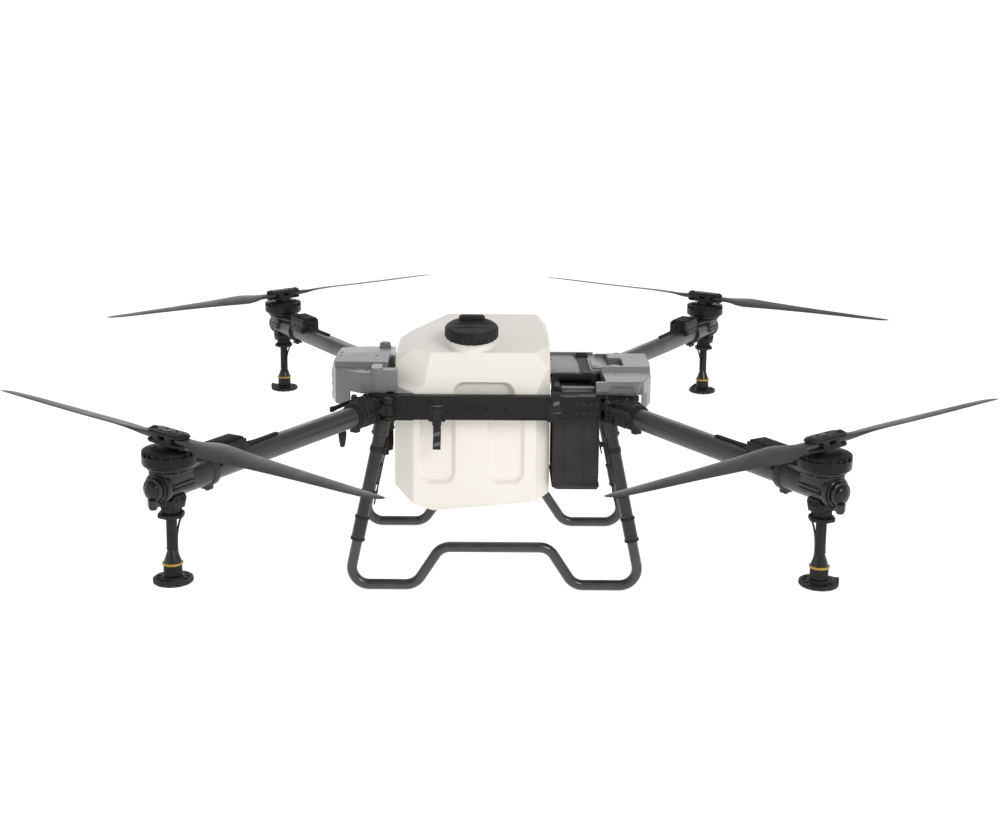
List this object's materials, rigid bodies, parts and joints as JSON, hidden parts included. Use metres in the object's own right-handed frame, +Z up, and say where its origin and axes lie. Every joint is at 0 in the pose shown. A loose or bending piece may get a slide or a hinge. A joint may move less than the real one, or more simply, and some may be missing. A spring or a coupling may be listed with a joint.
{
  "type": "agricultural spray drone",
  "caption": "Four-arm folding sprayer drone on two skids, with a lift-out liquid tank, a lift-out battery, folding two-blade propellers and a spinning-disc nozzle under each motor",
  "frame": {"origin": "on the ground, midway between the four motor axes", "axes": "+Z up; X from the nose (-X) to the tail (+X); Y across, with the left side, where the tank's filler faces, at -Y"},
  "size_m": [2.2807, 2.4946, 0.6577],
  "materials": {
    "tank_plastic": "warm white moulded polyethylene, slightly satin",
    "black_plastic": "black moulded plastic",
    "battery_plastic": "charcoal plastic with a fine texture",
    "cover_plastic": "mid grey gloss plastic",
    "black_coat": "black satin powder coat on aluminium",
    "frame_alu": "black anodised aluminium",
    "cast_alu": "dark anodised machined aluminium",
    "steel": "bright steel",
    "carbon_tube": "carbon fibre tube, modelled as plastic",
    "blade_plastic": "carbon filled nylon",
    "rotor_alu": "dark anodised aluminium",
    "nozzle_plastic": "black gloss plastic",
    "webbing": "black woven webbing and coated plates"
  },
  "bodies": {
    "airframe": {"frame_cross": "frame_alu", "frame_beams": "frame_alu", "hinge_brackets": "cast_alu", "hinge_pins": "steel", "legs": "black_coat", "left_skid": "black_coat", "right_skid": "black_coat", "nose_cover": "cover_plastic", "tail_cover": "cover_plastic", "pump": "black_plastic", "straps": "webbing", "flight_controller": "black_plastic"},
    "tank": {"tank": "tank_plastic"},
    "lid": {"tank_lid": "black_plastic"},
    "battery": {"battery": "battery_plastic", "battery_strap": "webbing"},
    "arm_front_left": {"arm_tube_front_left": "carbon_tube", "hinge_knuckle_front_left": "cast_alu", "motor_mount_front_left": "black_plastic", "speed_controller_front_left": "cast_alu", "nozzle_front_left": "nozzle_plastic"},
    "lever_front_left": {"lock_lever_front_left": "cast_alu"},
    "rotor_front_left": {"prop_hub_front_left": "black_plastic", "motor_rotor_front_left": "rotor_alu"},
    "blade_a_front_left": {"blade_a_front_left": "blade_plastic"},
    "blade_b_front_left": {"blade_b_front_left": "blade_plastic"},
    "disc_front_left": {"spray_disc_front_left": "black_plastic"},
    "arm_rear_left": {"arm_tube_rear_left": "carbon_tube", "hinge_knuckle_rear_left": "cast_alu", "motor_mount_rear_left": "black_plastic", "speed_controller_rear_left": "cast_alu", "nozzle_rear_left": "nozzle_plastic"},
    "lever_rear_left": {"lock_lever_rear_left": "cast_alu"},
    "rotor_rear_left": {"prop_hub_rear_left": "black_plastic", "motor_rotor_rear_left": "rotor_alu"},
    "blade_a_rear_left": {"blade_a_rear_left": "blade_plastic"},
    "blade_b_rear_left": {"blade_b_rear_left": "blade_plastic"},
    "disc_rear_left": {"spray_disc_rear_left": "black_plastic"},
    "arm_front_right": {"arm_tube_front_right": "carbon_tube", "hinge_knuckle_front_right": "cast_alu", "motor_mount_front_right": "black_plastic", "speed_controller_front_right": "cast_alu", "nozzle_front_right": "nozzle_plastic"},
    "lever_front_right": {"lock_lever_front_right": "cast_alu"},
    "rotor_front_right": {"prop_hub_front_right": "black_plastic", "motor_rotor_front_right": "rotor_alu"},
    "blade_a_front_right": {"blade_a_front_right": "blade_plastic"},
    "blade_b_front_right": {"blade_b_front_right": "blade_plastic"},
    "disc_front_right": {"spray_disc_front_right": "black_plastic"},
    "arm_rear_right": {"arm_tube_rear_right": "carbon_tube", "hinge_knuckle_rear_right": "cast_alu", "motor_mount_rear_right": "black_plastic", "speed_controller_rear_right": "cast_alu", "nozzle_rear_right": "nozzle_plastic"},
    "lever_rear_right": {"lock_lever_rear_right": "cast_alu"},
    "rotor_rear_right": {"prop_hub_rear_right": "black_plastic", "motor_rotor_rear_right": "rotor_alu"},
    "blade_a_rear_right": {"blade_a_rear_right": "blade_plastic"},
    "blade_b_rear_right": {"blade_b_rear_right": "blade_plastic"},
    "disc_rear_right": {"spray_disc_rear_right": "black_plastic"}
  },
  "joints": [
    {"name": "tank_lift", "type": "slide", "parent": "airframe", "child": "tank", "axis": [0, 0, 1], "range_m": [0, 0.42]},
    {"name": "lid_lift", "type": "slide", "parent": "tank", "child": "lid", "axis": [0, -0.2045, 0.9789], "range_m": [0, 0.12]},
    {"name": "battery_lift", "type": "slide", "parent": "airframe", "child": "battery", "axis": [0, 0, 1], "range_m": [0, 0.34]},
    {"name": "arm_fold_front_left", "type": "hinge", "parent": "airframe", "child": "arm_front_left", "pos_m": [-0.26006, -0.25029, 0.457], "axis": [0, 0, 1], "range_deg": [0, 92]},
    {"name": "lock_lever_front_left", "type": "hinge", "parent": "arm_front_left", "child": "lever_front_left", "pos_m": [-0.34455, -0.22036, 0.4685], "axis": [0, 0, 1], "range_deg": [-70, 0]},
    {"name": "prop_spin_front_left", "type": "hinge", "parent": "arm_front_left", "child": "rotor_front_left", "pos_m": [-0.66, -0.844, 0.518], "axis": [0, 0, 1], "continuous": true},
    {"name": "blade_a_fold_front_left", "type": "hinge", "parent": "rotor_front_left", "child": "blade_a_front_left", "pos_m": [-0.62544, -0.87436, 0.548], "axis": [0, 0, 1], "range_deg": [0, 85]},
    {"name": "blade_b_fold_front_left", "type": "hinge", "parent": "rotor_front_left", "child": "blade_b_front_left", "pos_m": [-0.69456, -0.81364, 0.548], "axis": [0, 0, 1], "range_deg": [-85, 0]},
    {"name": "disc_spin_front_left", "type": "hinge", "parent": "arm_front_left", "child": "disc_front_left", "pos_m": [-0.66, -0.844, 0.26], "axis": [0, 0, 1], "continuous": true},
    {"name": "arm_fold_rear_left", "type": "hinge", "parent": "airframe", "child": "arm_rear_left", "pos_m": [0.33593, -0.20571, 0.457], "axis": [0, 0, 1], "range_deg": [0, 105]},
    {"name": "lock_lever_rear_left", "type": "hinge", "parent": "arm_rear_left", "child": "lever_rear_left", "pos_m": [0.26868, -0.26495, 0.4685], "axis": [0, 0, 1], "range_deg": [-70, 0]},
    {"name": "prop_spin_rear_left", "type": "hinge", "parent": "arm_rear_left", "child": "rotor_rear_left", "pos_m": [0.66, -0.844, 0.518], "axis": [0, 0, 1], "continuous": true},
    {"name": "blade_a_fold_rear_left", "type": "hinge", "parent": "rotor_rear_left", "child": "blade_a_rear_left", "pos_m": [0.6957, -0.81499, 0.548], "axis": [0, 0, 1], "range_deg": [0, 85]},
    {"name": "blade_b_fold_rear_left", "type": "hinge", "parent": "rotor_rear_left", "child": "blade_b_rear_left", "pos_m": [0.6243, -0.87301, 0.548], "axis": [0, 0, 1], "range_deg": [-85, 0]},
    {"name": "disc_spin_rear_left", "type": "hinge", "parent": "arm_rear_left", "child": "disc_rear_left", "pos_m": [0.66, -0.844, 0.26], "axis": [0, 0, 1], "continuous": true},
    {"name": "arm_fold_front_right", "type": "hinge", "parent": "airframe", "child": "arm_front_right", "pos_m": [-0.33593, 0.20571, 0.457], "axis": [0, 0, 1], "range_deg": [0, 105]},
    {"name": "lock_lever_front_right", "type": "hinge", "parent": "arm_front_right", "child": "lever_front_right", "pos_m": [-0.26868, 0.26495, 0.4685], "axis": [0, 0, 1], "range_deg": [-70, 0]},
    {"name": "prop_spin_front_right", "type": "hinge", "parent": "arm_front_right", "child": "rotor_front_right", "pos_m": [-0.66, 0.844, 0.518], "axis": [0, 0, 1], "continuous": true},
    {"name": "blade_a_fold_front_right", "type": "hinge", "parent": "rotor_front_right", "child": "blade_a_front_right", "pos_m": [-0.62652, 0.87555, 0.548], "axis": [0, 0, 1], "range_deg": [0, 85]},
    {"name": "blade_b_fold_front_right", "type": "hinge", "parent": "rotor_front_right", "child": "blade_b_front_right", "pos_m": [-0.69348, 0.81245, 0.548], "axis": [0, 0, 1], "range_deg": [-85, 0]},
    {"name": "disc_spin_front_right", "type": "hinge", "parent": "arm_front_right", "child": "disc_front_right", "pos_m": [-0.66, 0.844, 0.26], "axis": [0, 0, 1], "continuous": true},
    {"name": "arm_fold_rear_right", "type": "hinge", "parent": "airframe", "child": "arm_rear_right", "pos_m": [0.26006, 0.25029, 0.457], "axis": [0, 0, 1], "range_deg": [0, 92]},
    {"name": "lock_lever_rear_right", "type": "hinge", "parent": "arm_rear_right", "child": "lever_rear_right", "pos_m": [0.34455, 0.22036, 0.4685], "axis": [0, 0, 1], "range_deg": [-70, 0]},
    {"name": "prop_spin_rear_right", "type": "hinge", "parent": "arm_rear_right", "child": "rotor_rear_right", "pos_m": [0.66, 0.844, 0.518], "axis": [0, 0, 1], "continuous": true},
    {"name": "blade_a_fold_rear_right", "type": "hinge", "parent": "rotor_rear_right", "child": "blade_a_rear_right", "pos_m": [0.69615, 0.81555, 0.548], "axis": [0, 0, 1], "range_deg": [0, 85]},
    {"name": "blade_b_fold_rear_right", "type": "hinge", "parent": "rotor_rear_right", "child": "blade_b_rear_right", "pos_m": [0.62385, 0.87245, 0.548], "axis": [0, 0, 1], "range_deg": [-85, 0]},
    {"name": "disc_spin_rear_right", "type": "hinge", "parent": "arm_rear_right", "child": "disc_rear_right", "pos_m": [0.66, 0.844, 0.26], "axis": [0, 0, 1], "continuous": true}
  ]
}
